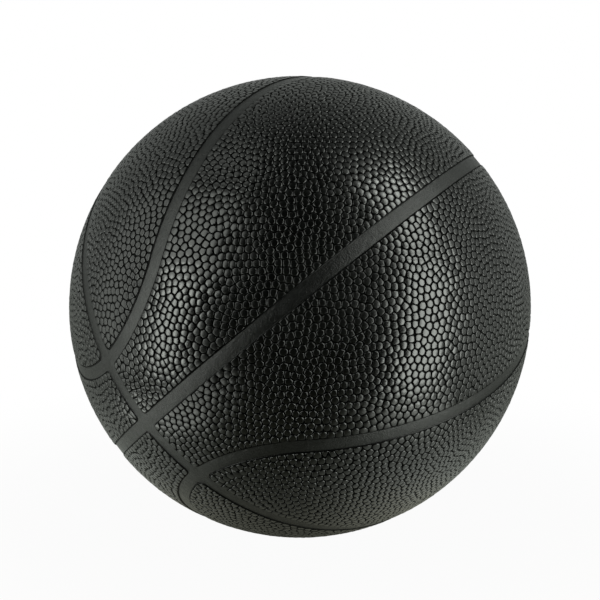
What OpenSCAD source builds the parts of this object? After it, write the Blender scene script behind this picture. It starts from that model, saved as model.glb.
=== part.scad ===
// Basketball: eight cover panels laid on a ribbed rubber carcass, over a thread winding
// and an air bladder that holds a needle valve.
// Origin at the ball's centre, +Y out through the needle hole, +Z up as the ball lies.
// Every layer is a sphere about the origin, so a radius is also a height above the centre.

/* [Ball] */
// Diameter over the cover panels
ball_d = 241; // [200:0.5:260]
// Turn of the lying ball about the needle hole, in degrees
lie_spin_deg = 44.1; // [-180:0.1:180]

/* [Cover panels] */
// Thickness of a cover panel
cover_t = 1.5; // [1.2:0.1:2.2]
// Width over which a panel's edge slants down to the channel
edge_w = 1.2; // [0.6:0.1:1.6]
// How far a panel's edge slants down
edge_drop = 0.4; // [0.2:0.05:0.6]
// Corner radius of the pointed panels
lens_corner_r = 4; // [3:0.1:5]
// Corner radius of the waisted panels
ring_corner_r = 2.2; // [1.8:0.1:3]

/* [Seams] */
// Width of the channel between two panels
channel_w = 6; // [4:0.1:8]
// Depth of the channel below the panels
channel_depth = 0.5; // [0.3:0.05:0.7]
// Clearance between a panel's edge and the rib that fills the seam
rib_gap = 0.15; // [0.05:0.05:0.3]
// Angle of a curved seam's side above the equator seam
curve_side_deg = 44.3; // [40:0.1:48]
// Angle along the equator seam from a curved seam's middle to its end
curve_reach_deg = 74.7; // [72:0.1:77]

/* [Inner layers] */
// Wall of the rubber carcass under a panel
carcass_t = 1; // [0.8:0.1:2]
// Thickness of the thread winding
winding_t = 0.5; // [0.3:0.1:1]
// Wall of the bladder
bladder_t = 0.8; // [0.6:0.1:1.5]
// Film of cement between two layers
bond_gap = 0.1; // [0.05:0.05:0.2]

/* [Valve] */
// Diameter of the needle hole
needle_d = 2.2; // [1.8:0.1:2.6]
// Length of the needle hole's round wall
needle_l = 14; // [10:0.5:15]
// Distance of the needle hole from the middle of the upright seam
valve_to_seam = 17; // [14:0.5:24]
// Angle of the needle hole along the upright seam, below the equator seam
valve_along_deg = 39; // [30:1:50]
// How far the valve lies below the cover's surface
valve_recess = 0.5; // [0.2:0.1:1]
// Diameter of the valve plug's head
plug_head_d = 5.2; // [4.8:0.1:5.6]
// Thickness of the valve plug's head
plug_head_t = 1.3; // [1:0.1:2]
// Diameter of the valve plug's stem
plug_stem_d = 3.8; // [3.6:0.1:4.2]
// Length of the valve plug's stem
plug_stem_l = 17; // [16:0.5:20]
// Clearance of the plug in its housing
plug_gap = 0.05; // [0.02:0.01:0.1]
// Diameter of the housing's neck, which shows in the cover
neck_d = 7; // [6.8:0.1:8]
// Clearance of the neck in the layers that it passes through
neck_gap = 0.15; // [0.05:0.05:0.3]
// Diameter of the housing's tube inside the bladder
tube_d = 9; // [8:0.1:11]
// Length of the housing's tube inside the bladder
tube_l = 18; // [16:0.5:24]
// Diameter of the housing's flange under the bladder wall
flange_d = 28; // [20:0.5:34]
// Thickness of the housing's flange
flange_t = 1.2; // [0.8:0.1:2]

/* [Hidden] */
$fn = 120;

// Radii of the layers, from the outside in
ball_r = ball_d / 2;
channel_floor_r = ball_r - channel_depth;
cover_in_r = ball_r - cover_t;
carcass_out_r = cover_in_r - bond_gap;
carcass_in_r = carcass_out_r - carcass_t;
winding_out_r = carcass_in_r - bond_gap;
winding_in_r = winding_out_r - winding_t;
bladder_out_r = winding_in_r - bond_gap;
bladder_in_r = bladder_out_r - bladder_t;
flange_out_r = bladder_in_r - bond_gap;
valve_face_r = ball_r - valve_recess;

// How far a cutting solid runs past what it cuts, and the reach of one that cuts to the outside
overrun = cover_t;
reach_r = ball_r + overrun;

// A curved seam is two great-circle sides joined by two end arcs that meet them smoothly
curve_end_deg = atan(sin(curve_side_deg) * cos(curve_reach_deg)
                     / (1 - sin(curve_side_deg) * sin(curve_reach_deg)));
end_axis_deg = curve_reach_deg - curve_end_deg;
side_axis_deg = 90 - curve_side_deg;
end_sweep_deg = atan(tan(side_axis_deg) / sin(end_axis_deg));
side_sweep_deg = atan(tan(end_axis_deg) / sin(side_axis_deg));
// Where side and end meet, as a height along Y
meet_y = ball_r * sin(end_axis_deg) / cos(curve_end_deg);
// An end reaches this much past the side that it meets, so that the two cross cleanly
crossing_deg = asin(rib_gap / ball_r);
// A slanted edge is cut this much past each end of its slant, and this far past each arc
run_share = 0.5;
sweep_run_deg = 1;

// Half the channel, and half the rib that fills it
cut_half_w = channel_w / 2;
rib_half_w = cut_half_w - rib_gap;
// A corner's post is this much wider than its distance from the walls, so it crosses them cleanly
post_share = 1.03;

// Direction of the needle hole in the seams' own frame
valve_x_share = valve_to_seam / ball_r;
valve_ring_share = sqrt(1 - valve_x_share * valve_x_share);
valve_turn_deg = atan2(-valve_ring_share * cos(valve_along_deg), valve_x_share);
valve_rise_deg = -asin(valve_ring_share * sin(valve_along_deg));

// Edges of the valve's turned pieces
tube_end_r = flange_out_r - tube_l;
tube_chamfer = (tube_d - neck_d) / 2;
head_seat_r = valve_face_r - plug_head_t;
stem_end_r = head_seat_r - plug_stem_l;
lead_in = (plug_stem_d - needle_d) / 4;
needle_end_r = valve_face_r - lead_in - needle_l;
stem_chamfer = lead_in;

cover_tint = [0.10, 0.10, 0.11];
rubber_tint = [0.17, 0.17, 0.17];
thread_tint = [0.82, 0.80, 0.72];
bladder_tint = [0.24, 0.23, 0.22];
valve_tint = [0.30, 0.30, 0.30];

// Turns the seams' frame so that the needle hole points along +Y and the ball lies as stored
module lie() {
    rotate([0, lie_spin_deg, 0])
        rotate([-valve_rise_deg, 0, 0])
            rotate([0, 0, 90 - valve_turn_deg])
                children();
}

// Turns a piece drawn about Z so that it stands along +Y
module along_needle() {
    rotate([-90, 0, 0]) children();
}

// Hollow sphere between two radii
module layer(out_r, in_r) {
    difference() {
        sphere(out_r);
        sphere(in_r);
    }
}

// Round hole along the needle, through a layer
module needle_way(hole_r) {
    along_needle() cylinder(h = reach_r, r = hole_r);
}

// Space inside the upper half of the curved seam, moved out by the given width
module lens_zone(grow) {
    far = 2 * reach_r;
    apex_x = -grow * (1 + cos(curve_side_deg)) / sin(curve_side_deg);
    end_deg = curve_end_deg + asin(grow / ball_r) + crossing_deg;
    intersection() {
        rotate([90, 0, 0]) linear_extrude(height = 2 * far, center = true)
            polygon([
                [apex_x, -grow], [apex_x + far, -grow],
                [apex_x + far * cos(curve_side_deg), far * sin(curve_side_deg) - grow]
            ]);
        union() {
            translate([0, -meet_y, 0]) translate([-far, 0, -far])
                cube([2 * far, 2 * meet_y, 2 * far]);
            for (y_side = [0, 1]) mirror([0, y_side, 0])
                rotate([0, 0, end_axis_deg]) rotate([0, 90, 0])
                    cylinder(h = reach_r + overrun, r1 = 0, r2 = (reach_r + overrun) * tan(end_deg));
        }
    }
}

// Quarter of space with X and Z above half the gap
module quarter(half_w) {
    translate([half_w, -2 * reach_r, half_w]) cube([2 * reach_r, 4 * reach_r, 2 * reach_r]);
}

// What a rounded corner takes off at both ends of the equator seam.
// The corner points along the seam, away from X with toward 1 and back to X with toward -1.
module corner_cuts(part, seam_deg, toward, corner_r) {
    back_deg = asin((cut_half_w + corner_r) / ball_r);
    post_r = corner_r * post_share + (part == "panel" ? 0 : rib_gap);
    foot_r = carcass_out_r - overrun;
    block = corner_r + cut_half_w;
    for (y_side = [0, 1]) mirror([0, y_side, 0])
        rotate([0, 0, seam_deg - toward * back_deg]) rotate([0, -back_deg, 0])
            difference() {
                translate([foot_r, toward > 0 ? 0 : -block, -block])
                    cube([reach_r + overrun - foot_r, block, block]);
                translate([foot_r - overrun, 0, 0]) rotate([0, 90, 0])
                    cylinder(h = reach_r + 3 * overrun - foot_r, r = post_r);
            }
}

// Shell that a panel, or the pocket it lies in, is cut from
module stock(part) {
    if (part == "panel") layer(ball_r, cover_in_r);
    else layer(reach_r, carcass_out_r);
}

function gap_half_w(part) = part == "panel" ? cut_half_w : rib_half_w;

// Section that takes a panel's edge off at a slant, on the side of the seam that side gives
module edge_section(side) {
    polygon([
        [ball_r - (1 + run_share) * edge_drop, side * (cut_half_w - run_share * edge_w)],
        [ball_r + run_share * edge_drop, side * (cut_half_w + (1 + run_share) * edge_w)],
        [ball_r + run_share * edge_drop, side * (cut_half_w - run_share * edge_w)]
    ]);
}

module equator_edge() {
    rotate_extrude() edge_section(1);
}

module upright_edge() {
    rotate([0, 90, 0]) rotate_extrude() edge_section(1);
}

module side_edge(side) {
    sweep_deg = side_sweep_deg + sweep_run_deg;
    rotate([0, side_axis_deg, 0]) rotate([180, -90, 0]) rotate([0, 0, -sweep_deg])
        rotate_extrude(angle = 2 * sweep_deg) edge_section(side);
}

module end_edges(side) {
    sweep_deg = end_sweep_deg + sweep_run_deg;
    for (y_side = [0, 1]) mirror([0, y_side, 0])
        rotate([0, 0, end_axis_deg]) rotate([90, 0, 90]) rotate([0, 0, -sweep_deg])
            rotate_extrude(angle = 2 * sweep_deg)
                rotate([0, 0, 90 - curve_end_deg]) edge_section(side);
}

// Pointed panel, upper right, with upright edges.
// Its shell is turned so that the sphere's poles and joint line stay outside it.
module lens_blank(part) {
    difference() {
        intersection() {
            rotate([90, 180, 0]) stock(part);
            lens_zone(-gap_half_w(part));
        }
        corner_cuts(part, curve_reach_deg, 1, lens_corner_r);
    }
}

// Waisted panel, upper right, with upright edges, its shell turned for the same reason
module ring_blank(part) {
    difference() {
        intersection() {
            rotate([0, 90, 0]) stock(part);
            quarter(gap_half_w(part));
        }
        lens_zone(gap_half_w(part));
        corner_cuts(part, curve_reach_deg, -1, ring_corner_r);
        corner_cuts(part, 90, 1, ring_corner_r);
    }
}

module lens() {
    difference() {
        difference() {
            lens_blank("panel");
            equator_edge();
            end_edges(1);
        }
        side_edge(1);
    }
}

module ring() {
    difference() {
        difference() {
            ring_blank("panel");
            upright_edge();
            equator_edge();
            end_edges(-1);
        }
        side_edge(-1);
    }
}

// Puts an upper right piece on its side and half of the ball
module placed(left, lower) {
    mirror([left ? 1 : 0, 0, 0]) mirror([0, 0, lower ? 1 : 0]) children();
}

module lens_panel(left, lower) {
    color(cover_tint) lie() placed(left, lower) lens();
}

module ring_panel(left, lower) {
    color(cover_tint) lie() placed(left, lower) ring();
}

// The waisted panel that the valve shows through
module valved_panel() {
    color(cover_tint) difference() {
        lie() placed(false, true) ring();
        needle_way(neck_d / 2 + neck_gap);
    }
}

// Rubber shell whose ribs fill the seams, with a pocket for each panel
module carcass() {
    color(rubber_tint) difference() {
        layer(channel_floor_r, carcass_in_r);
        lie() for (left = [false, true], lower = [false, true]) placed(left, lower) {
            lens_blank("pocket");
            ring_blank("pocket");
        }
        needle_way(neck_d / 2 + neck_gap);
    }
}

module winding() {
    color(thread_tint) difference() {
        layer(winding_out_r, winding_in_r);
        needle_way(neck_d / 2 + neck_gap);
    }
}

module bladder() {
    color(bladder_tint) difference() {
        layer(bladder_out_r, bladder_in_r);
        needle_way(neck_d / 2 + neck_gap);
    }
}

// Flanged rubber tube that is bonded under the bladder wall and comes up through every layer
module valve_housing() {
    color(valve_tint) along_needle() difference() {
        union() {
            intersection() {
                layer(flange_out_r, flange_out_r - flange_t);
                cylinder(h = reach_r, r = flange_d / 2);
            }
            rotate_extrude() polygon([
                [0, tube_end_r], [tube_d / 2 - tube_chamfer, tube_end_r],
                [tube_d / 2, tube_end_r + tube_chamfer], [tube_d / 2, flange_out_r - flange_t],
                [neck_d / 2, flange_out_r - flange_t / 2], [neck_d / 2, valve_face_r],
                [0, valve_face_r]
            ]);
        }
        cylinder(h = reach_r, r = plug_stem_d / 2 + plug_gap);
        translate([0, 0, head_seat_r - plug_gap])
            cylinder(h = overrun + plug_head_t, r = plug_head_d / 2 + plug_gap);
    }
}

// Self-sealing plug with the needle hole, which is closed below by the slit end of its stem
module valve_plug() {
    color(valve_tint) along_needle() rotate_extrude() polygon([
        [0, stem_end_r], [plug_stem_d / 2 - stem_chamfer, stem_end_r],
        [plug_stem_d / 2, stem_end_r + stem_chamfer], [plug_stem_d / 2, head_seat_r],
        [plug_head_d / 2, head_seat_r], [plug_head_d / 2, valve_face_r - lead_in],
        [plug_head_d / 2 - lead_in, valve_face_r], [needle_d / 2 + lead_in, valve_face_r],
        [needle_d / 2, valve_face_r - lead_in], [needle_d / 2, needle_end_r], [0, needle_end_r]
    ]);
}

bladder();
valve_housing();
valve_plug();
winding();
carcass();
lens_panel(false, false);  // lens_panel_right_upper
lens_panel(false, true);  // lens_panel_right_lower
lens_panel(true, false);  // lens_panel_left_upper
lens_panel(true, true);  // lens_panel_left_lower
ring_panel(false, false);  // ring_panel_right_upper
valved_panel();  // ring_panel_right_lower
ring_panel(true, false);  // ring_panel_left_upper
ring_panel(true, true);  // ring_panel_left_lower
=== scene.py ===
"""A black basketball: pebbled cover panels round smooth rubber channels, on a pale floor.

The ball's sizes are in millimetres in the classes below and become metres where a mesh is made.
The studio's sizes, and the heights and scales of shader noise, are in metres.
"""

import logging
import math
from dataclasses import dataclass, field
from enum import Enum
from itertools import product
from typing import Any, Callable

import bpy
import numpy as np
from bpy.types import ID, Material, NodeSocket, Object
from mathutils import Matrix, Vector
from mathutils.geometry import delaunay_2d_cdt
from mathutils.kdtree import KDTree


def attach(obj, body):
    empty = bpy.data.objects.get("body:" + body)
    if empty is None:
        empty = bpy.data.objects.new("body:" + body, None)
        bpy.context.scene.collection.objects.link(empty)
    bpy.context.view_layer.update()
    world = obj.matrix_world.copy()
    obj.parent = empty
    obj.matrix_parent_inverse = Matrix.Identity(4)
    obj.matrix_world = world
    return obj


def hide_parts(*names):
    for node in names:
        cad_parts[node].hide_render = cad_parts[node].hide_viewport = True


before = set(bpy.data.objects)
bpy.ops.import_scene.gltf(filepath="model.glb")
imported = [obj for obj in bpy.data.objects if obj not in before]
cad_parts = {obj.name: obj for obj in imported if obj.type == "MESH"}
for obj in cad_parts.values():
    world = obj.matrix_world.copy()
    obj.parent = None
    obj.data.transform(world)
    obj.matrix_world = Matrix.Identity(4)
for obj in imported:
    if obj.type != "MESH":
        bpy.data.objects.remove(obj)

Array = np.ndarray
Field = Callable[[Array], Array]
Span = tuple[float, float]
Tint = tuple[float, float, float]

MM = 0.001
LOG = logging.getLogger("basketball")

# Radius of the ball over its panels, in millimetres
BALL_R = 120.5
# Height on the unit sphere above which helper directions come from X instead of Z
NEAR_POLE = 0.9
# Length in millimetres over which the rise of a distance field is measured
PROBE = 0.02
# Rounds in which points settle on a line
SETTLE_ROUNDS = 4
# Keeps directions longer than zero
TINY = 1e-12
# Distance below which the triangulation joins two points
WELD = 1e-9
# Angle in radians below which corners of cells are joined, and the rounds of it
CORNER_GAP = 0.28 / 120.0
JOIN_ROUNDS = 6
# The bake map's border, and the corner and size of its spot for the undersides
MAP_BORDER = 0.01
MAP_SPOT = 0.96
MAP_SPOT_SIZE = 0.03
# The bake map goes no further round the sphere than this
MAP_REACH = -0.99
# Tone of all that isn't a pebble
EVEN_TONE = 0.5


def unit(rows: Array) -> Array:
    """Scales every row to length one."""
    return rows / np.linalg.norm(rows, axis=-1, keepdims=True)


def turn(axis: str, degrees: float) -> Array:
    """Rotation matrix about a named axis."""
    return np.array(Matrix.Rotation(math.radians(degrees), 3, axis))


def ease(value: Array, low: float, high: float) -> Array:
    """Smooth step from 0 at low to 1 at high."""
    t = np.clip((value - low) / (high - low), 0.0, 1.0)
    return t * t * (3.0 - 2.0 * t)


def spread(rows: Array) -> tuple[Array, Array]:
    """Two tangent directions at each point of the unit sphere.

    Args:
        rows: points on the unit sphere.

    Returns:
        Two arrays of unit vectors, square to the points and to each other.
    """
    helper = np.where(np.abs(rows[:, 2:3]) < NEAR_POLE, [[0.0, 0.0, 1.0]], [[1.0, 0.0, 0.0]])
    first = unit(np.cross(helper, rows))
    return first, np.cross(rows, first)


# Shape of the seams


class PanelKind(Enum):
    """The two outlines that the cover is cut from."""

    LENS = "lens"
    RING = "ring"


@dataclass(frozen=True)
class Seams:
    """Where the seams run, in a frame of their own, and how the ball lies."""

    channel_half: float = 3.0
    curve_side_deg: float = 44.3
    curve_reach_deg: float = 74.7
    lens_corner_r: float = 4.0
    ring_corner_r: float = 2.2
    valve_to_seam: float = 17.0
    valve_along_deg: float = 39.0
    lie_spin_deg: float = 44.1

    @property
    def end_r(self) -> float:
        """Angular radius of a curved seam's end arc, in radians."""
        side, reach = math.radians(self.curve_side_deg), math.radians(self.curve_reach_deg)
        return math.atan2(math.sin(side) * math.cos(reach), 1 - math.sin(side) * math.sin(reach))

    @property
    def end_axis(self) -> Array:
        """Centre of the end arc on the +Y half."""
        angle = math.radians(self.curve_reach_deg) - self.end_r
        return np.array([math.cos(angle), math.sin(angle), 0.0])

    @property
    def side_axis(self) -> Array:
        """Pole of the curved seam's side, on the side of the pointed panel."""
        side = math.radians(self.curve_side_deg)
        return np.array([math.sin(side), 0.0, -math.cos(side)])

    @property
    def lie(self) -> Array:
        """Turns the seams' frame into the part's frame.

        Returns:
            A rotation matrix.
        """
        across = self.valve_to_seam / BALL_R
        ring = math.sqrt(1 - across * across)
        along = math.radians(self.valve_along_deg)
        about_z = math.degrees(math.atan2(-ring * math.cos(along), across))
        rise = -math.degrees(math.asin(ring * math.sin(along)))
        return turn("Y", self.lie_spin_deg) @ turn("X", -rise) @ turn("Z", 90 - about_z)

    def curve(self, u: Array) -> Array:
        """Distance from the middle of the curved seam, above zero on the pointed panel's side.

        Args:
            u: points on the unit sphere, in the upper right quarter's frame.

        Returns:
            One distance for each point, in millimetres.
        """
        folded = u.copy()
        folded[:, 1] = np.abs(folded[:, 1])
        side = np.arcsin(np.clip(folded @ self.side_axis, -1, 1))
        end = self.end_r - np.arccos(np.clip(folded @ self.end_axis, -1, 1))
        meet = np.cross(self.end_axis, self.side_axis)
        beyond = (folded @ meet) * np.sign(meet[1]) > 0
        return BALL_R * np.where(beyond, end, side)

    def inside(self, kind: PanelKind, u: Array) -> Array:
        """Distance from a panel's edge, above zero on the panel.

        Args:
            kind: the panel's outline.
            u: points on the unit sphere, in the upper right quarter's frame.

        Returns:
            One distance for each point, in millimetres.
        """
        equator, upright = (BALL_R * np.arcsin(np.clip(height, -1, 1)) - self.channel_half
                            for height in (u[:, 2], u[:, 0]))
        if kind is PanelKind.LENS:
            return rounded(equator, self.curve(u) - self.channel_half, self.lens_corner_r)
        edge = rounded(equator, -self.curve(u) - self.channel_half, self.ring_corner_r)
        return rounded(edge, upright, self.ring_corner_r)


def rounded(a: Array, b: Array, r: float) -> Array:
    """The nearer of two edges, with their corner rounded to radius r."""
    corner = r - np.hypot(np.maximum(r - a, 0), np.maximum(r - b, 0))
    return np.where((a < r) & (b < r), corner, np.minimum(a, b))


# Pebbled panels


def slope(level: Field, u: Array) -> Array:
    """Direction in which a field of distances on the sphere rises, as unit tangents.

    Args:
        level: the field.
        u: points on the unit sphere.

    Returns:
        One unit vector for each point.
    """
    step = PROBE / BALL_R
    first, second = spread(u)
    rise = [level(unit(u + step * d)) - level(unit(u - step * d)) for d in (first, second)]
    return unit(rise[0][:, None] * first + rise[1][:, None] * second + TINY)


def travel(u: Array, heading: Array, distance: Array) -> Array:
    """Moves points along great circles by distances in millimetres."""
    angle = (distance / BALL_R)[:, None]
    return u * np.cos(angle) + heading * np.sin(angle)


def settle(level: Field, u: Array, target: float) -> Array:
    """Moves points square to a field's lines until they lie at the target level.

    Args:
        level: the field.
        u: points on the unit sphere.
        target: the level that they are moved to.

    Returns:
        The moved points.
    """
    for _ in range(SETTLE_ROUNDS):
        u = travel(u, slope(level, u), target - level(u))
    return u


@dataclass(frozen=True)
class Scatter:
    """How the pebbles' places are thrown and evened out; lengths are in millimetres."""

    thrown: int = 120000
    thrown_past: float = 9.0
    least_facing: float = -0.12
    spacing_share: float = 0.675
    free_rounds: int = 8
    walled_rounds: int = 5
    overstep: float = 1.5
    moved_past: float = 6.0
    longest_move_rad: float = 0.03
    wall_room: float = 0.2
    mirrored_pitches: float = 1.6
    kept_inside: float = 0.55
    edge_step: float = 0.8
    most_steps: int = 8
    halved_above: float = 1.4


@dataclass(frozen=True)
class Ring:
    """One line round a pebble: how far inside its cell, how round, how high, how steep."""

    inset: float
    rounding: float
    rise: float
    lean_deg: float


@dataclass(frozen=True)
class EdgeLine:
    """One line along the panel's edge: how far inside, how far down, how steep, how glossy."""

    inside: float
    down: float
    steep_deg: float
    gloss: float


@dataclass(frozen=True)
class PebbleRelief:
    """Sizes of the pebbles and of the panel's smooth edge; lengths are in millimetres."""

    pitch: float = 3.34
    margin: float = 0.4
    valve_collar: float = 1.9
    valve_r: float = 3.65
    depth: float = 0.42
    edge_depth: float = 0.24
    edge_sink: float = 0.07
    sink_zone: float = 3.6
    least_area: float = 0.05
    full_reach: float = 1.05
    least_room: float = 0.15
    least_share: float = 0.06
    rings: tuple[Ring, ...] = (
        Ring(0.16, 0.22, 0.08, 34.0), Ring(0.32, 0.42, 0.74, 54.0), Ring(0.56, 0.52, 1.0, 6.5))
    crown: float = 0.985
    tilt: float = 0.026
    unevenness: float = 0.02
    edge_lines: tuple[EdgeLine, ...] = (
        EdgeLine(0.26, 0.01, 8.0, 0.2), EdgeLine(0.02, 0.1, 36.0, 0.38),
        EdgeLine(-0.13, 0.28, 60.0, 0.3), EdgeLine(-0.15, 1.26, 135.0, 0.0))
    cap_every: int = 7
    cap_margin: float = 3.0
    cap_slack: float = 0.02


@dataclass
class Points:
    """A panel's points as they are made."""

    rows: list[tuple[Array, ...]] = field(default_factory=list)
    count: int = 0

    def add(self, places: Array, radii: Any, facing: Array, rise: float,
            tone: Any = EVEN_TONE) -> Array:
        """Adds points.

        Args:
            places: their directions from the ball's middle.
            radii: their distances from it, or one for all.
            facing: which way the surface faces at each.
            rise: their share of a pebble's height.
            tone: their tones, or one for all.

        Returns:
            Their numbers.
        """
        size = len(places)
        radii, rise, tone = (np.broadcast_to(values, size) for values in (radii, rise, tone))
        self.rows.append((places, radii, facing, rise, tone))
        self.count += size
        return np.arange(self.count - size, self.count)

    def columns(self) -> list[Array]:
        """Places, radii, facings, rises and tones of all the points."""
        return [np.concatenate(column) for column in zip(*self.rows)]


@dataclass
class Cells:
    """Pebble outlines as one run of corners after another."""

    owner: Array
    corner: Array
    on_edge: Array
    centres: Array


def seen_from(points: Array, middle: Array) -> tuple[Array, Array]:
    """Heights of points on the sphere along a direction, and their places across it."""
    first, second = spread(middle[None])
    return points @ middle, points @ np.stack([first[0], second[0]], 1)


def summed(rows: Array, owner: Array, count: int) -> Array:
    """Adds up the rows of each owner."""
    return np.stack([np.bincount(owner, rows[:, i], count) for i in range(3)], 1)


def triangles(points: Array, middle: Array) -> Array:
    """Delaunay triangles of points on the sphere, seen from above the given middle.

    Args:
        points: points on the unit sphere.
        middle: direction that the flattening is centred on.

    Returns:
        Rows of three point numbers, each turning left seen from outside.
    """
    height, across = seen_from(points, middle)
    flat = 2 / (1 + height)[:, None] * across
    found = delaunay_2d_cdt([Vector(p) for p in flat], [], [], 0, WELD, False)
    tri = np.array([f for f in found[2] if len(f) == 3])
    a, b, c = (flat[tri[:, i]] for i in range(3))
    left = (b[:, 0] - a[:, 0]) * (c[:, 1] - a[:, 1]) - (b[:, 1] - a[:, 1]) * (c[:, 0] - a[:, 0])
    tri[left < 0] = tri[left < 0][:, [0, 2, 1]]
    return tri


def round_centres(points: Array, tri: Array) -> Array:
    """Centres on the sphere of the circles through each triangle's corners."""
    a, b, c = (points[tri[:, i]] for i in range(3))
    return unit(np.cross(b - a, c - a))


def merged(centre: Array, sides: Array) -> tuple[Array, Array]:
    """Joins circle centres that nearly meet.

    Args:
        centre: centres of the circles through the triangles' corners.
        sides: first, second and third sides of all the triangles, as point numbers.

    Returns:
        For each triangle the number of its joined centre, and the places of these centres.
    """
    home = np.tile(np.arange(len(centre)), 3)
    key = np.sort(sides, axis=1)
    order = np.lexsort((key[:, 1], key[:, 0]))
    key, home = key[order], home[order]
    twin = (key[1:] == key[:-1]).all(1)
    a, b = home[:-1][twin], home[1:][twin]
    close = np.linalg.norm(centre[a] - centre[b], axis=1) < CORNER_GAP
    a, b = a[close], b[close]
    label = np.arange(len(centre))
    for _ in range(JOIN_ROUNDS):
        low = np.minimum(label[a], label[b])
        np.minimum.at(label, a, low)
        np.minimum.at(label, b, low)
    mean, used = summed(centre, label, len(centre)), np.unique(label)
    mean[used] = unit(mean[used])
    return label, mean


def next_round(owner: Array) -> Array:
    """Finds the next corner round the same cell.

    Args:
        owner: the cell of each corner, in runs.

    Returns:
        The next corner's number, for each corner.
    """
    start = np.flatnonzero(np.r_[True, owner[1:] != owner[:-1]])
    following = np.arange(1, len(owner) + 1)
    following[np.r_[start[1:] - 1, len(owner) - 1]] = start
    return following


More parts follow.
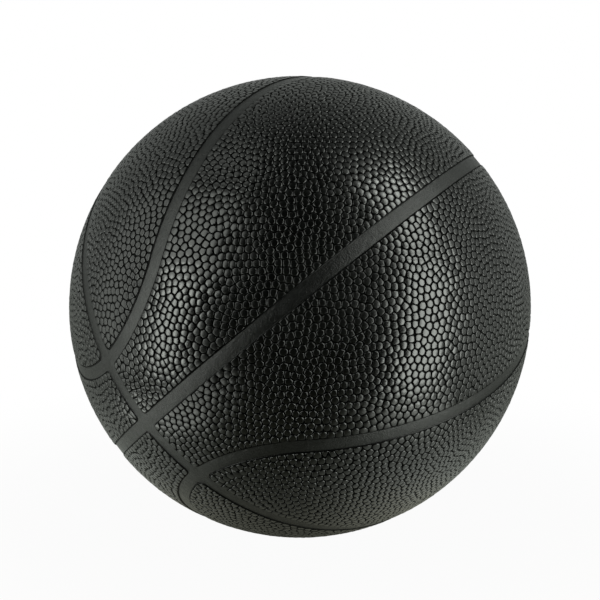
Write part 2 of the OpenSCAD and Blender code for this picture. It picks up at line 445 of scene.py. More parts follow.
@dataclass
class PebbledPanel:
    """One cover panel, its pebbles cut by the seams, in place of the plain solid."""

    kind: PanelKind
    left: bool
    lower: bool
    seed: int
    valved: bool = False
    seams: Seams = Seams()
    relief: PebbleRelief = PebbleRelief()
    throw: Scatter = Scatter()

    @property
    def name(self) -> str:
        """The CAD node that this panel stands for."""
        side, half = ("left" if self.left else "right"), ("lower" if self.lower else "upper")
        return f"{self.kind.value}_panel_{side}_{half}"

    @property
    def middle(self) -> Array:
        """Direction of the panel's middle in the upper right quarter's frame."""
        side = self.seams.curve_side_deg
        rise = side / 2 if self.kind is PanelKind.LENS else (90 + side) / 2
        return np.array([math.cos(math.radians(rise)), 0.0, math.sin(math.radians(rise))])

    @property
    def valve(self) -> Array:
        """Direction of the needle hole in the upper right quarter's frame."""
        return self.seams.lie.T @ np.array([0.0, 1.0, 0.0]) * self.flips

    @property
    def flips(self) -> Array:
        """Signs that mirror the upper right quarter's frame onto this panel."""
        return np.array([-1.0 if self.left else 1.0, 1.0, -1.0 if self.lower else 1.0])

    def holed(self, u: Array, margin: float, hole_r: float) -> Array:
        """Distance inside a line that runs within the panel's edge and round the valve.

        Args:
            u: points on the unit sphere.
            margin: how far the line lies within the edge.
            hole_r: its radius round the needle hole.

        Returns:
            One distance for each point.
        """
        near = self.seams.inside(self.kind, u) - margin
        if self.valved:
            away = BALL_R * np.arccos(np.clip(u @ self.valve, -1, 1))
            near = np.minimum(near, away - hole_r)
        return near

    def edge(self, u: Array) -> Array:
        """Distance inside the panel's edge, the valve's hole included."""
        return self.holed(u, 0.0, self.relief.valve_r)

    def pebbled(self, u: Array) -> Array:
        """Distance inside the area that pebbles cover."""
        return self.holed(u, self.relief.margin, self.relief.valve_r + self.relief.valve_collar)

    def sown(self, rng: np.random.Generator) -> Array:
        """Places of the pebbles, thrown at random but never close together, then evened out.

        Args:
            rng: the panel's random numbers.

        Returns:
            Points on the unit sphere.
        """
        t, spacing = self.throw, self.throw.spacing_share * self.relief.pitch / BALL_R
        u = unit(rng.normal(size=(t.thrown, 3)))
        u = u[(self.pebbled(u) > -t.thrown_past) & (u @ self.middle > t.least_facing)]
        index = KDTree(len(u))
        for number, place in enumerate(u):
            index.insert(place, number)
        index.balance()
        taken, kept = np.zeros(len(u), bool), []
        for number, place in enumerate(u):
            if not taken[number]:
                kept.append(number)
                for _, mate, _ in index.find_range(place, spacing):
                    taken[mate] = True
        u = self.relax(u[kept], t.free_rounds, False)
        u = self.relax(u[self.pebbled(u) > 0.0], t.walled_rounds, True)
        return u[self.pebbled(u) > t.kept_inside]

    def relax(self, u: Array, rounds: int, walled: bool) -> Array:
        """Evens the pebbles out by moving each to the middle of its own cell, several times.

        Args:
            u: places of the pebbles.
            rounds: how often they are moved.
            walled: whether the edge of the pebbled area holds them in.

        Returns:
            The new places.
        """
        t = self.throw
        for _ in range(rounds):
            points = self.mirrored(u) if walled else u
            tri = triangles(points, self.middle)
            centre = round_centres(points, tri)
            total, weight = np.zeros((len(points), 3)), np.zeros(len(points))
            for i, j in ((0, 1), (0, 2), (1, 2), (1, 0), (2, 0), (2, 1)):
                seed, home = tri[:, i], points[tri[:, i]]
                half = (home + points[tri[:, j]]) / 2
                middle = (home + half + centre) / 3
                area = np.linalg.norm(np.cross(half - home, centre - home), axis=1)
                total += summed(area[:, None] * middle, seed, len(points))
                weight += np.bincount(seed, area, len(points))
            moved = unit(total / np.where(weight > 0, weight, 1.0)[:, None])[:len(u)]
            moved = unit(u + t.overstep * (moved - u))
            free = np.linalg.norm(moved - u, axis=1) < t.longest_move_rad
            free &= self.pebbled(u) > -t.moved_past
            if walled:
                free &= self.pebbled(moved) > t.wall_room
            u = np.where(free[:, None], moved, u)
        return u

    def mirrored(self, u: Array) -> Array:
        """Adds a mirror image across the edge of the pebbled area for each pebble near it.

        Args:
            u: places of the pebbles.

        Returns:
            These places, and after them those of the images.
        """
        depth = self.pebbled(u)
        near = depth < self.throw.mirrored_pitches * self.relief.pitch
        heading = slope(self.pebbled, u[near])
        return np.concatenate([u, travel(u[near], -heading, 2 * depth[near])])

    def cells(self, u: Array) -> Cells:
        """Cuts the pebbles' cells along the edge of the pebbled area.

        The line between a pebble and its mirror image is the edge itself.

        Args:
            u: relaxed places of the pebbles.

        Returns:
            The cells' corners in order, and whether the side after each lies on the edge.
        """
        points = self.mirrored(u)
        tri = triangles(points, self.middle)
        rows = np.concatenate([np.roll(tri, -i, axis=1) for i in range(3)])
        label, centre = merged(round_centres(points, tri), rows[:, :2])
        spot = np.tile(label, 3)
        keep = rows[:, 0] < len(u)
        rows, spot = rows[keep], spot[keep]
        first, second = spread(u)
        offset, seed = centre[spot], rows[:, 0]
        angle = np.arctan2((offset * second[seed]).sum(1), (offset * first[seed]).sum(1))
        order = np.lexsort((angle, seed))
        owner, corner, on_edge = seed[order], spot[order], rows[order, 2] >= len(u)
        kept = corner != corner[next_round(owner)]
        return Cells(owner[kept], corner[kept], on_edge[kept], centre)

    def outline(self, cells: Cells) -> tuple[Array, ...]:
        """Adds points between the cells' corners and lays the edge's points on the edge.

        Args:
            cells: the pebbles' cells.

        Returns:
            Owner of each point, its number among the shared points, whether the side that
            follows it lies on the edge, and the shared points' places.
        """
        t, following = self.throw, next_round(cells.owner)
        a, b = cells.corner, cells.corner[following]
        length = BALL_R * np.linalg.norm(cells.centres[a] - cells.centres[b], axis=1)
        along_edge = np.clip(np.ceil(length / t.edge_step), 1, t.most_steps)
        between = np.where(length > t.halved_above, 2, 1)
        parts = np.where(cells.on_edge, along_edge, between).astype(int)
        rows = np.repeat(np.arange(len(parts)), parts)
        owner, on_edge = cells.owner[rows], cells.on_edge[rows]
        step = np.arange(len(rows)) - np.repeat(np.cumsum(parts) - parts, parts)
        share = (step / parts[rows])[:, None]
        low, high = np.minimum(a, b)[rows], np.maximum(a, b)[rows]
        ahead = (a < b)[rows][:, None]
        along = np.where(ahead, share, 1 - share)
        place = unit(cells.centres[low] * (1 - along) + cells.centres[high] * along)
        grade = np.where(step == 0, 0, np.where(ahead[:, 0], step, parts[rows] - step))
        ends = (np.where(step == 0, a[rows], side) for side in (low, high))
        key = np.stack([*ends, grade], 1)
        _, index, number = np.unique(key, axis=0, return_index=True, return_inverse=True)
        shared, number = place[index], number.reshape(-1)
        touching = np.zeros(len(shared), bool)
        touching[number[on_edge]] = True
        touching[number[next_round(owner)[on_edge]]] = True
        shared[touching] = settle(self.pebbled, shared[touching], 0.0)
        return owner, number, on_edge, shared

    def levels(self, u: Array) -> tuple[Array, Array]:
        """Radii of the valleys and of the tops, which come together near the edge."""
        r, near = self.relief, 1 - ease(self.edge(u), 0.0, self.relief.sink_zone)
        return BALL_R - r.depth + (r.depth - r.edge_depth) * near, BALL_R - r.edge_sink * near

    def build(self) -> Object:
        """Makes the panel with its pebbles, smooth edge, walls and inner side.

        Returns:
            The panel's object.
        """
        r, rng = self.relief, np.random.default_rng(self.seed)
        owner, number, on_edge, shared = self.outline(self.cells(self.sown(rng)))
        following, count = next_round(owner), int(owner.max()) + 1
        middle = unit(summed(shared[number], owner, count) + TINY)
        first, second = spread(middle)
        across, up = first[owner], second[owner]
        arm = shared[number] - middle[owner]
        x, y = BALL_R * (arm * across).sum(1), BALL_R * (arm * up).sum(1)
        reach = np.hypot(x, y)
        twice = x * y[following] - x[following] * y
        area = np.maximum(np.bincount(owner, twice, count) / 2, r.least_area)
        radius = np.sqrt(area / math.pi)[owner]
        least = np.full(count, np.inf)
        np.minimum.at(least, owner, reach)
        room = np.clip(least / r.full_reach, r.least_room, 1.0)
        lean = rng.normal(scale=r.tilt, size=(count, 2))
        bump = rng.normal(scale=r.unevenness, size=count)
        tone = rng.random(count)

        points, rings = Points(), [number]
        points.add(shared, self.levels(shared)[0], shared, 0.0)
        outward = unit(across * x[:, None] + up * y[:, None])
        slanted = first * lean[:, :1] + second * lean[:, 1:]
        for ring in r.rings:
            far = reach * (1 - ring.rounding) + radius * ring.rounding - ring.inset * room[owner]
            share = np.clip(far / reach, r.least_share, 1.0)
            u = unit(middle[owner] + (across * (x * share)[:, None]
                                      + up * (y * share)[:, None]) / BALL_R)
            low, high = self.levels(u)
            slant = (x * lean[owner, 0] + y * lean[owner, 1]) * share + bump[owner]
            steep = math.tan(math.radians(ring.lean_deg))
            rings.append(points.add(u, low + (high - low + slant) * room[owner] * ring.rise,
                                    unit(u + outward * steep - slanted[owner] * ring.rise),
                                    ring.rise, tone[owner]))
        low, high = self.levels(middle)
        crown = points.add(middle, low + (high - low) * room * r.crown + bump * room,
                           unit(middle - slanted), 1.0, tone)
        quads = [np.stack([a, a[following], b[following], b], 1) for a, b in zip(rings, rings[1:])]
        fans = np.stack([rings[-1], rings[-1][following], crown[owner]], 1)

        start, end = number[on_edge], number[following[on_edge]]
        line = rim = np.unique(np.concatenate([start, end]))
        start, end = np.searchsorted(rim, start), np.searchsorted(rim, end)
        for edge in r.edge_lines:
            u = settle(self.edge, shared[rim], edge.inside)
            steep = math.radians(edge.steep_deg)
            facing = unit(u * math.cos(steep) - slope(self.edge, u) * math.sin(steep))
            outer = points.add(u, BALL_R - r.edge_depth - edge.down, facing, edge.gloss)
            quads.append(np.stack([outer[start], outer[end], line[end], line[start]], 1))
            line = outer

        inner = middle[self.edge(middle) > r.cap_margin][::r.cap_every]
        added = points.add(inner, BALL_R - r.edge_depth - edge.down, -inner, 0.0)
        cap = self.underside(np.concatenate([u, inner]), np.concatenate([line, added]))
        LOG.info("%s: %d pebbles, %d points", self.name, count, points.count)
        return self.meshed(points, np.concatenate(quads), fans, cap)

    def underside(self, u: Array, numbers: Array) -> Array:
        """Closes the panel's inner side with a few large triangles.

        Args:
            u: directions of the points round the bottom of the walls, and of some within.
            numbers: these points' numbers.

        Returns:
            Rows of three point numbers, each turning left seen from inside.
        """
        tri = triangles(u, self.middle)
        outermost = self.relief.edge_lines[-1].inside - self.relief.cap_slack
        kept = self.edge(unit(u[tri].mean(1))) > outermost
        return numbers[tri[kept]][:, ::-1]

    def meshed(self, points: Points, quads: Array, fans: Array, cap: Array) -> Object:
        """Puts the points where the panel lies on the ball and makes the object.

        Args:
            points: the panel's points.
            quads: its faces of four corners.
            fans: the triangles on the pebbles' tops.
            cap: the triangles of the inner side.

        Returns:
            The panel's object, with a flat map of its outer side.
        """
        u, radii, facing, rise, tone = points.columns()
        fans = np.concatenate([fans, cap])
        if self.flips.prod() < 0:
            quads, fans = quads[:, ::-1], fans[:, ::-1]
        spots = (u * radii[:, None] * self.flips) @ self.seams.lie.T * MM
        facing = (facing * self.flips) @ self.seams.lie.T
        mesh = bpy.data.meshes.new(self.name + "_cover")
        mesh.vertices.add(len(spots))
        mesh.vertices.foreach_set("co", spots.astype(np.float32).ravel())
        loops = np.concatenate([quads.ravel(), fans.ravel()]).astype(np.int32)
        starts = np.r_[0:4 * len(quads):4, 4 * len(quads):len(loops):3]
        mesh.loops.add(len(loops))
        mesh.loops.foreach_set("vertex_index", loops)
        mesh.polygons.add(len(starts))
        mesh.polygons.foreach_set("loop_start", starts.astype(np.int32))
        mesh.update(calc_edges=True)
        mesh.validate()
        mesh.polygons.foreach_set("use_smooth", np.ones(len(mesh.polygons), bool))
        mesh.normals_split_custom_set_from_vertices(facing.tolist())
        height, across = seen_from(u, self.middle)
        flat = np.sqrt(2 / (1 + np.clip(height, MAP_REACH, 1)))[:, None] * across
        low, high = flat.min(0), flat.max(0)
        flat = MAP_BORDER + (1 - 2 * MAP_BORDER) * (flat - low) / (high - low).max()
        layer = mesh.uv_layers.new(name="OFBake")
        used = np.zeros(len(mesh.loops), np.int32)
        mesh.loops.foreach_get("vertex_index", used)
        spots = flat[used]
        below = np.arange(len(used)) >= len(used) - cap.size
        spots[below] = MAP_SPOT + MAP_SPOT_SIZE * spots[below]
        layer.uv.foreach_set("vector", spots.astype(np.float32).ravel())
        for label, values in (("rise", rise), ("tone", tone)):
            kept = mesh.attributes.new(label, "FLOAT", "POINT")
            kept.data.foreach_set("value", values.astype(np.float32))
        return placed(self.name + "_cover", mesh)


def placed(name: str, data: ID) -> Object:
    """Makes an object and puts it in the scene."""
    bpy.context.scene.collection.objects.link(obj := bpy.data.objects.new(name, data))
    return obj


# Shaders


@dataclass
class Signal:
    """A shader output that takes part in sums as a number does."""

    graph: "Graph"
    socket: NodeSocket

    def of(self, operation: str, *values: Any) -> "Signal":
        """Adds a Math node on the given values."""
        return self.graph.node("ShaderNodeMath", {"operation": operation}, dict(enumerate(values)))

    def math(self, operation: str, *values: Any) -> "Signal":
        """Adds a Math node on this value and the given ones."""
        return self.of(operation, self, *values)

    def __abs__(self) -> "Signal":
        """The value without its sign."""
        return self.math("ABSOLUTE")

    def __add__(self, other: Any) -> "Signal":
        """Sum."""
        return self.math("ADD", other)

    def __sub__(self, other: Any) -> "Signal":
        """Difference."""
        return self.math("SUBTRACT", other)

    def __rsub__(self, other: Any) -> "Signal":
        """Difference, from the right."""
        return self.of("SUBTRACT", other, self)

    def __mul__(self, other: Any) -> "Signal":
        """Product."""
        return self.math("MULTIPLY", other)

    __radd__, __rmul__ = __add__, __mul__

    def eased(self, low: float, high: float) -> "Signal":
        """Smooth step from 0 at low to 1 at high."""
        return self.graph.node(
            "ShaderNodeMapRange", {"interpolation_type": "SMOOTHSTEP"},
            {"Value": self, "From Min": low, "From Max": high})


class Graph:
    """The node tree of one material or of the world."""

    def __init__(self, owner: ID) -> None:
        """Empties the tree.

        Args:
            owner: the material or world that has it.
        """
        owner.use_nodes = True
        self.tree = owner.node_tree
        self.tree.nodes.clear()

    def node(self, kind: str, settings: dict[str, Any] | None = None,
             values: dict | None = None, output: int | str = 0) -> Signal:
        """Adds a node.

        Args:
            kind: the node's type.
            settings: properties that are set first.
            values: numbers, colours or links by socket name or number.
            output: the output that is handed back.

        Returns:
            The chosen output.
        """
        made = self.tree.nodes.new(kind)
        for key, value in (settings or {}).items():
            setattr(made, key, value)
        for key, value in (values or {}).items():
            socket = made.inputs[key]
            if isinstance(value, Signal):
                self.tree.links.new(value.socket, socket)
            else:
                socket.default_value = value
        return Signal(self, made.outputs[output])

    def mix(self, factor: Any, a: Any, b: Any) -> Signal:
        """Mixes two colours."""
        return self.node("ShaderNodeMix", {"data_type": "RGBA"}, {0: factor, 6: a, 7: b}, 2)

    def noise(self, place: Signal, scale: float, detail: float = 4.0, rough: float = 0.5) -> Signal:
        """Smooth random values from 0 to 1."""
        return self.node("ShaderNodeTexNoise", {"noise_dimensions": "3D"},
                         {"Vector": place, "Scale": scale, "Detail": detail, "Roughness": rough})

    def part(self, vector: Signal, axis: str) -> Signal:
        """A vector's part along X, Y or Z."""
        return self.node("ShaderNodeSeparateXYZ", None, {0: vector}, axis)

    def dot(self, vector: Signal, axis: Array) -> Signal:
        """Reach of a vector along an axis."""
        return self.node("ShaderNodeVectorMath", {"operation": "DOT_PRODUCT"},
                         {0: vector, 1: axis.tolist()}, "Value")

    def place(self) -> Signal:
        """The point on the object, in metres."""
        return self.node("ShaderNodeTexCoord", output="Object")

    def attribute(self, name: str) -> Signal:
        """A value that the mesh carries at its points."""
        return self.node("ShaderNodeAttribute", {"attribute_name": name}, output="Fac")

    def bumped(self, height: Signal, distance: float, strength: float) -> Signal:
        """Normals of a surface raised by height times distance, in metres."""
        return self.node("ShaderNodeBump", None,
                         {"Height": height, "Distance": distance, "Strength": strength})

    def looks(self) -> tuple[Signal, Signal]:
        """Whether the camera sees the surface, and whether a reflection or clear piece does."""
        camera, glossy, clear = (self.node("ShaderNodeLightPath", output=f"Is {ray} Ray")
                                 for ray in ("Camera", "Glossy", "Transmission"))
        return camera, glossy.math("MAXIMUM", clear) * (1 - camera)

    def blend(self, factor: Signal, first: Signal, second: Signal) -> Signal:
        """Mixes two shaders."""
        return self.node("ShaderNodeMixShader", None, {0: factor, 1: first, 2: second})

    def shader(self, values: dict[str, Any]) -> Signal:
        """Adds a surface shader with its inputs."""
        return self.node("ShaderNodeBsdfPrincipled", None, values)

    def surface(self, values: dict[str, Any]) -> None:
        """Adds the material's only surface shader and its output."""
        self.node_out("ShaderNodeOutputMaterial", self.shader(values))

    def node_out(self, kind: str, shader: Signal) -> None:
        """Links a shader to a new output node."""
        made = self.tree.nodes.new(kind)
        self.tree.links.new(shader.socket, made.inputs["Surface"])


def grey(level: float, tint: Tint = (1.0, 1.0, 1.0)) -> tuple[float, ...]:
    """A colour of the given level and tint."""
    return (*(level * part for part in tint), 1.0)


def started(name: str) -> tuple[Material, Graph]:
    """Starts a material and its graph."""
    mat = bpy.data.materials.new(name)
    return mat, Graph(mat)


@dataclass(frozen=True)
class CoverLeather:
    """Near-black pebbled cover: satin tops, duller valleys, fine grain and light rubbing."""

    base: float = 0.0005
    worn: float = 0.0012
    valley: float = 0.0006
    tint: Tint = (0.8, 1.0, 0.77)
    tone_share: float = 0.6
    top_roughness: float = 0.27
    wall_roughness: float = 0.36
    valley_roughness: float = 0.6
    valley_gloss: float = 0.02
    foot_rises: Span = (0.12, 0.8)
    crest_rises: Span = (0.55, 0.95)
    tone_spread: float = 0.04
    smudges: float = 28.0
    smudge_levels: Span = (0.35, 0.7)
    smudge_spread: float = 0.06
    grain: float = 2600.0
    grain_spread: float = 0.04
    grain_height: float = 0.000008
    grain_strength: float = 0.6

    def material(self) -> Material:
        """Makes the cover's material.

        Returns:
            The material.
        """
        mat, g = started("cover_leather")
        place = g.place()
        rise, tone = g.attribute("rise"), g.attribute("tone")
        smudge = g.noise(place, self.smudges, detail=3.0).eased(*self.smudge_levels)
        fine = g.noise(place, self.grain, detail=3.0, rough=0.6)
        crest = rise.eased(*self.crest_rises)
        colour = g.mix(tone * self.tone_share + smudge * (1 - self.tone_share),
                       grey(self.base, self.tint), grey(self.worn, self.tint))
        rough = self.wall_roughness - crest * (self.wall_roughness - self.top_roughness)
        for noise, spread_by in ((tone, self.tone_spread), (smudge, self.smudge_spread),
                                 (fine, self.grain_spread)):
            rough = rough + (noise - 0.5) * spread_by
        normal = g.bumped(fine, self.grain_height, self.grain_strength)
        top = g.shader({"Base Color": colour, "Roughness": rough, "Normal": normal})
        bottom = g.shader({"Base Color": grey(self.valley, self.tint),
                           "Roughness": self.valley_roughness,
                           "Specular IOR Level": self.valley_gloss})
        g.node_out("ShaderNodeOutputMaterial", g.blend(rise.eased(*self.foot_rises), bottom, top))
        return mat


@dataclass(frozen=True)
class ChannelRubber:
    """Smooth matt rubber of the channels, with a faint grain and paler scuffs."""

    base: float = 0.0025
    scuffed: float = 0.005
    tint: Tint = (0.92, 1.0, 0.9)
    roughness: float = 0.34
    gloss: float = 0.33
    scuffs: float = 90.0
    scuff_levels: Span = (0.36, 0.7)
    scuff_share: float = 0.7
    scuff_height: float = 0.5
    blotches: float = 300.0
    blotch_height: float = 0.8
    blotch_spread: float = 0.2
    grain: float = 1500.0
    grain_spread: float = 0.25
    grain_height: float = 0.0003
    relief_strength: float = 0.9
    crown: float = 0.00016
    crown_blend: float = 0.0016
    crown_reach: float = 1.1
    seams: Seams = Seams()

    def crowned(self, g: Graph, place: Signal) -> Signal:
        """How far the rubber swells towards the middle of each channel.

        Args:
            g: the material's nodes.
            place: the point on the object.

        Returns:
            A height from 0 at a channel's edges to 1 along its middle line, below 0 past them.
        """
        s = self.seams
        x, y, z = (abs(g.dot(place, axis)) for axis in s.lie.T)
        folded = g.node("ShaderNodeCombineXYZ", None, {0: x, 1: y, 2: z})
        side = abs(g.dot(folded, s.side_axis))
        off_end = (g.dot(folded, s.end_axis) * (1 / (BALL_R * MM))).math("ARCCOSINE")
        end = abs((off_end - s.end_r) * (BALL_R * MM))
        meet = np.cross(s.end_axis, s.side_axis)
        beyond = g.dot(folded, meet * np.sign(meet[1])).math("GREATER_THAN", 0.0)
        curve = side + (end - side) * beyond
        near = x
        for other in (z, curve):
            near = near.math("SMOOTH_MIN", other, self.crown_blend)
        share = (near * (1 / (s.channel_half * MM))).math("MINIMUM", self.crown_reach)
        return 1 - share * share

    def material(self) -> Material:
        """Makes the channels' material.

        Returns:
            The material.
        """
        mat, g = started("channel_rubber")
        place = g.place()
        scuff = g.noise(place, self.scuffs, detail=5.0, rough=0.62).eased(*self.scuff_levels)
        blotch = g.noise(place, self.blotches, rough=0.6)
        fine = g.noise(place, self.grain, rough=0.65)
        colour = g.mix(scuff * self.scuff_share + fine * (1 - self.scuff_share),
                       grey(self.base, self.tint), grey(self.scuffed, self.tint))
        rough = (self.roughness + (fine - 0.5) * self.grain_spread
                 + (blotch - 0.5) * self.blotch_spread)
        height = (fine + scuff * self.scuff_height + blotch * self.blotch_height
                  + self.crowned(g, place) * (self.crown / self.grain_height))
        normal = g.bumped(height, self.grain_height, self.relief_strength)
        g.surface({"Base Color": colour, "Roughness": rough, "Normal": normal,
                   "Specular IOR Level": self.gloss})
        return mat


@dataclass(frozen=True)
class MouldedRubber:
    """Plain moulded or dipped rubber of a small or hidden piece."""

    name: str
    base: float
    roughness: float
    palest: float = 1.6
    clouds: float = 120.0
    grain: float = 1200.0
    grain_spread: float = 0.2
    grain_height: float = 0.00006
    grain_strength: float = 0.6

    def material(self) -> Material:
        """Makes the rubber's material.

        Returns:
            The material.
        """
        mat, g = started(self.name)
        place = g.place()
        fine = g.noise(place, self.grain, rough=0.6)
        cloud = g.noise(place, self.clouds, detail=3.0)
        colour = g.mix(cloud, grey(self.base), grey(self.base * self.palest))
        rough = self.roughness + (fine - 0.5) * self.grain_spread
        g.surface({"Base Color": colour, "Roughness": rough,
                   "Normal": g.bumped(fine, self.grain_height, self.grain_strength)})
        return mat


@dataclass(frozen=True)
class WoundThread:
    """Pale thread wound in bands that cross, set in latex."""

    base: float = 0.55
    between: float = 0.33
    tint: Tint = (1.0, 0.96, 0.84)
    bands: float = 349.2
    roughness: float = 0.6
    strand_spread: float = 0.2
    strand_height: float = 0.0002
    strand_strength: float = 0.8

    def material(self) -> Material:
        """Makes the winding's material.

        Returns:
            The material.
        """
        mat, g = started("wound_thread")
        strand = g.node("ShaderNodeTexWave", {"wave_type": "BANDS", "bands_direction": "DIAGONAL"},
                        {"Vector": g.place(), "Scale": self.bands, "Distortion": 2.0,
                         "Detail": 2.0}, "Fac")
        colour = g.mix(strand, grey(self.between, self.tint), grey(self.base, self.tint))
        g.surface({"Base Color": colour, "Roughness": self.roughness + strand * self.strand_spread,
                   "Normal": g.bumped(strand, self.strand_height, self.strand_strength)})
        return mat


# Sub-assemblies


@dataclass
class Cover:
    """The eight pebbled panels."""

    finish: CoverLeather = CoverLeather()
    first_seed: int = 11

    def build(self) -> None:
        """Builds, dresses and seats every panel."""
        leather, halves = self.finish.material(), (False, True)
        panels = product(PanelKind, halves, halves)
        for seed, (kind, left, lower) in enumerate(panels, self.first_seed):
            valved = kind is PanelKind.RING and lower and not left
            panel = PebbledPanel(kind, left, lower, seed, valved)
            obj = panel.build()
            obj.data.materials.append(leather)
            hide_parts(panel.name)
            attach(obj, "root")


@dataclass
class InnerBody:
    """The nodes whose CAD shape stays: carcass, winding, bladder and valve."""

    carcass: ChannelRubber = ChannelRubber()
    valve_housing: MouldedRubber = MouldedRubber("valve_rubber", base=0.02, roughness=0.5)
    valve_plug: MouldedRubber = MouldedRubber("plug_rubber", base=0.012, roughness=0.34)
    bladder: MouldedRubber = MouldedRubber("butyl", base=0.03, roughness=0.55)
    winding: WoundThread = WoundThread()

    def dress(self) -> None:
        """Gives the node of each field's name that field's finish."""
        for name, finish in vars(self).items():
            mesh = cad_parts[name].data
            mesh.materials.clear()
            mesh.materials.append(finish.material())
            LOG.info("%s: dressed", name)


@dataclass(frozen=True)
class SoftBox:
    """One narrow soft box: where it stands, its size in metres and how bright its face is."""

    name: str
    azimuth_deg: float
    height: float
    width: float
    length: float
    glow: float
    roll_deg: float = 0.0
    away: float = 0.25
    colour: Tint = (0.95, 1.0, 0.93)

    def build(self) -> None:
        """Stands the box so that it faces the upright line through the ball's middle."""
        side = math.radians(self.azimuth_deg)
        data = bpy.data.lights.new(self.name, "AREA")
        data.shape = "RECTANGLE"
        data.size, data.size_y = self.width, self.length
        data.energy = self.glow * math.pi * self.width * self.length
        data.color = self.colour
        obj = placed(self.name, data)
        obj.location = (self.away * math.sin(side), -self.away * math.cos(side), self.height)
        beam = Vector((0.0, 0.0, self.height)) - obj.location
        facing = beam.to_track_quat("-Z", "Y").to_matrix().to_4x4()
        roll = Matrix.Rotation(math.radians(self.roll_deg), 4, "Z")
        obj.rotation_euler = (facing @ roll).to_euler()
        obj.visible_camera = False


@dataclass(frozen=True)
class PaintedPool:
    """A painted pool of light on the floor, seen only in the ball's reflection: its middle, reach
    and glow.
    """

    x: float
    y: float
    reach: float
    glow: float


@dataclass(frozen=True)
class PaleFloor:
    """The floor: plain paint under the lamps, near white to the camera and in the ball.

    Near the ball the camera sees painted shade: grey that fades to white with distance, over a
    faint real shadow in the dim paint. The ball's reflection sees painted light on the floor beside
    and behind it, tinted olive near the ball and greener farther off, and two painted bright spots
    in front of it.
    Each rise is a range of the distance from the ball's middle, or of Y for the side of that
    painted light.
    """

    size: float = 4.0
    paint: float = 0.14
    paint_tint: Tint = (1.0, 1.0, 0.75)
    # Painted shade: near the ball the camera sees this share of white and the rest is the dim
    # paint, so the floor greys towards the ball. The dim paint also carries a faint real shadow.
    white_near: float = 0.96
    white_rise: Span = (0.14, 0.4)
    # Painted light: how brightly the floor glows in the ball's reflection only, beside and behind
    # the ball, dimming with distance.
    glare: float = 0.56
    glare_rise: Span = (0.115, 0.155)
    glare_side_rise: Span = (-0.17, 0.0)
    fading: float = 0.24
    fading_rise: Span = (0.17, 0.3)
    # Painted reflection colour: in the ball's reflection only, the floor shows olive near the ball
    # and greener farther off.
    near_tint: Tint = (0.98, 1.0, 0.83)
    far_tint: Tint = (0.93, 1.0, 0.91)
    far_rise: Span = (0.137, 0.17)
    # Painted bright spots on the floor in front of the ball, seen only in its reflection.
    pools: tuple[PaintedPool, ...] = (PaintedPool(0.105, -0.108, 0.12, 0.9), PaintedPool(-0.135, -0.115, 0.09, 0.7))

    def build(self) -> None:
        """Lays the floor under the ball."""
        half, z = self.size / 2, -BALL_R * MM
        mesh = bpy.data.meshes.new("floor")
        mesh.from_pydata([(-half, -half, z), (half, -half, z), (half, half, z), (-half, half, z)],
                         [], [(0, 1, 2, 3)])
        mat, g = started("pale_floor")
        place = g.place()
        camera, mirrored = g.looks()
        away = g.node("ShaderNodeVectorMath", {"operation": "LENGTH"}, {0: place}, "Value")
        # Painted light seen only in the ball's reflection: none at the contact, then a glow beside
        # and behind the ball that dims with distance, plus painted bright spots in front.
        glare = g.part(place, "Y").eased(*self.glare_side_rise) * away.eased(*self.glare_rise)
        glare = glare * (self.glare - self.fading * away.eased(*self.fading_rise))
        for pool in self.pools:
            gap = g.node("ShaderNodeVectorMath", {"operation": "DISTANCE"},
                         {0: place, 1: (pool.x, pool.y, z)}, "Value")
            glare = glare + (pool.glow - pool.glow * gap.eased(0.0, pool.reach))
        # Painted shade for the camera: grey near the ball that fades to white with distance, over
        # the paint's faint real shadow.
        white = self.white_near + (1 - self.white_near) * away.eased(*self.white_rise)
        paint = g.node("ShaderNodeBsdfDiffuse", None, {"Color": grey(self.paint, self.paint_tint)})
        # Painted reflection colour: olive near the ball and greener farther off, while the camera
        # sees plain white.
        mirror = g.mix(away.eased(*self.far_rise), grey(1.0, self.near_tint),
                       grey(1.0, self.far_tint))
        glow = g.node("ShaderNodeEmission", None, {"Color": g.mix(camera, mirror, grey(1.0))})
        g.node_out("ShaderNodeOutputMaterial",
                   g.blend(camera * white + mirrored * glare, paint, glow))
        mesh.materials.append(mat)
        placed("floor", mesh)


@dataclass(frozen=True)
class Surround:
    """Pale light from behind and beside the ball, a dark front, and white for the camera.

    How far back a direction lies is its Y part and a share of its X part.
    """

    front: float = 0.007
    front_tint: Tint = (0.8, 1.0, 0.8)
    back: float = 0.395
    above: float = 0.46
    back_tint: Tint = (0.94, 1.0, 0.94)
    side_share: float = 0.55
    back_rise: Span = (-0.2, 0.8)
    above_rise: Span = (0.2, 0.8)
    backdrop_rise: Span = (0.9, 1.0)

    def build(self) -> None:
        """Makes the scene's world."""
        world = bpy.data.worlds.new("surround")
        bpy.context.scene.world = world
        g = Graph(world)
        toward = g.node("ShaderNodeTexCoord", output="Generated")
        depth = g.part(toward, "Y")
        aside = abs(g.part(toward, "X")) * self.side_share
        pale = g.mix(g.part(toward, "Z").eased(*self.above_rise),
                     grey(self.back, self.back_tint), grey(self.above, self.back_tint))
        level = g.mix((depth + aside).eased(*self.back_rise),
                      grey(self.front, self.front_tint), pale)
        camera, mirrored = g.looks()
        light, white = (g.node("ShaderNodeBackground", None, {"Color": colour})
                        for colour in (level, grey(1.0)))
        share = camera + mirrored * depth.eased(*self.backdrop_rise)
        g.node_out("ShaderNodeOutputWorld", g.blend(share, light, white))


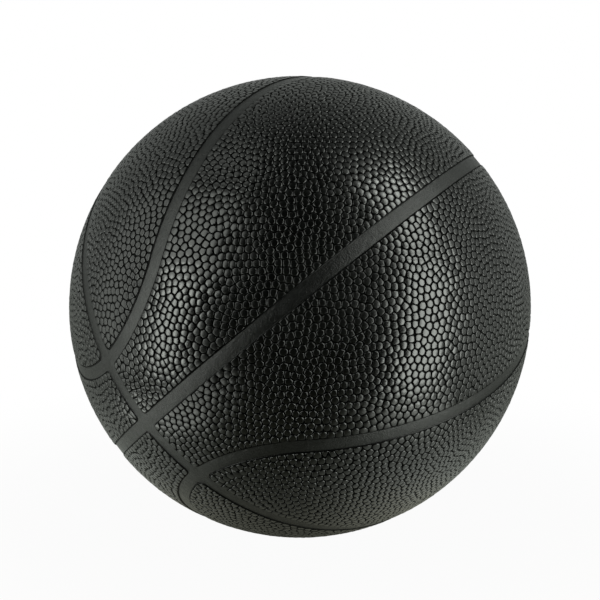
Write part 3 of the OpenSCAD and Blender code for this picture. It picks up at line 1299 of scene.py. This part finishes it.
@dataclass(frozen=True)
class Viewpoint:
    """The camera at the photograph's angle, its distance in the ball's radii."""

    distance: float = 3.5
    elevation_deg: float = 8.0
    lens_mm: float = 46.47
    sensor_mm: float = 36.0
    rise_share: float = 0.0113

    def build(self) -> None:
        """Places the camera."""
        data = bpy.data.cameras.new("camera")
        data.lens, data.sensor_width, data.shift_y = self.lens_mm, self.sensor_mm, self.rise_share
        data.sensor_fit = "HORIZONTAL"
        obj = placed("camera", data)
        rise, away = math.radians(self.elevation_deg), self.distance * BALL_R * MM
        obj.location = (0.0, -away * math.cos(rise), away * math.sin(rise))
        obj.rotation_euler = (math.radians(90 - self.elevation_deg), 0.0, 0.0)
        bpy.context.scene.camera = obj


@dataclass
class Studio:
    """Pale floor and surround, soft lamps at both sides, and the camera."""

    floor: PaleFloor = PaleFloor()
    surround: Surround = Surround()
    view: Viewpoint = Viewpoint()
    boxes: tuple[SoftBox, ...] = (
        SoftBox("left_box", -46.5, 0.0, 0.05, 0.15, 9.4, -17.0),
        SoftBox("left_low_box", -36.0, -0.095, 0.07, 0.045, 3.4),
        SoftBox("left_high_box", -43.5, 0.155, 0.13, 0.18, 3.2),
        SoftBox("left_top_box", -55.0, 0.42, 0.2, 0.3, 1.05, away=0.2),
        SoftBox("left_foot_box", -53.0, -0.1, 0.13, 0.036, 3.7, away=0.185),
        SoftBox("left_side_box", -72.0, 0.08, 0.1, 0.34, 1.2),
        SoftBox("right_box", 44.5, -0.01, 0.08, 0.21, 9.0, -7.0),
        SoftBox("right_upper_box", 49.0, 0.19, 0.078, 0.17, 8.2, -4.0),
        SoftBox("right_high_box", 55.0, 0.3, 0.07, 0.12, 11.4),
        SoftBox("right_top_box", 50.0, 0.42, 0.2, 0.3, 0.6, away=0.2),
        SoftBox("right_foot_box", 42.0, -0.1, 0.12, 0.036, 2.2, away=0.185),
        SoftBox("right_side_box", 70.0, 0.07, 0.12, 0.36, 0.5))

    def build(self) -> None:
        """Sets up the whole studio."""
        bpy.context.scene.view_settings.view_transform = "Standard"
        for piece in (self.floor, self.surround, *self.boxes, self.view):
            piece.build()
        LOG.info("studio: %d soft boxes", len(self.boxes))


def main() -> None:
    """Builds the ball and the studio."""
    logging.basicConfig(level=logging.INFO, format="%(message)s")
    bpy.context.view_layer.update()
    Cover().build()
    InnerBody().dress()
    Studio().build()


if __name__ == "__main__":
    main()
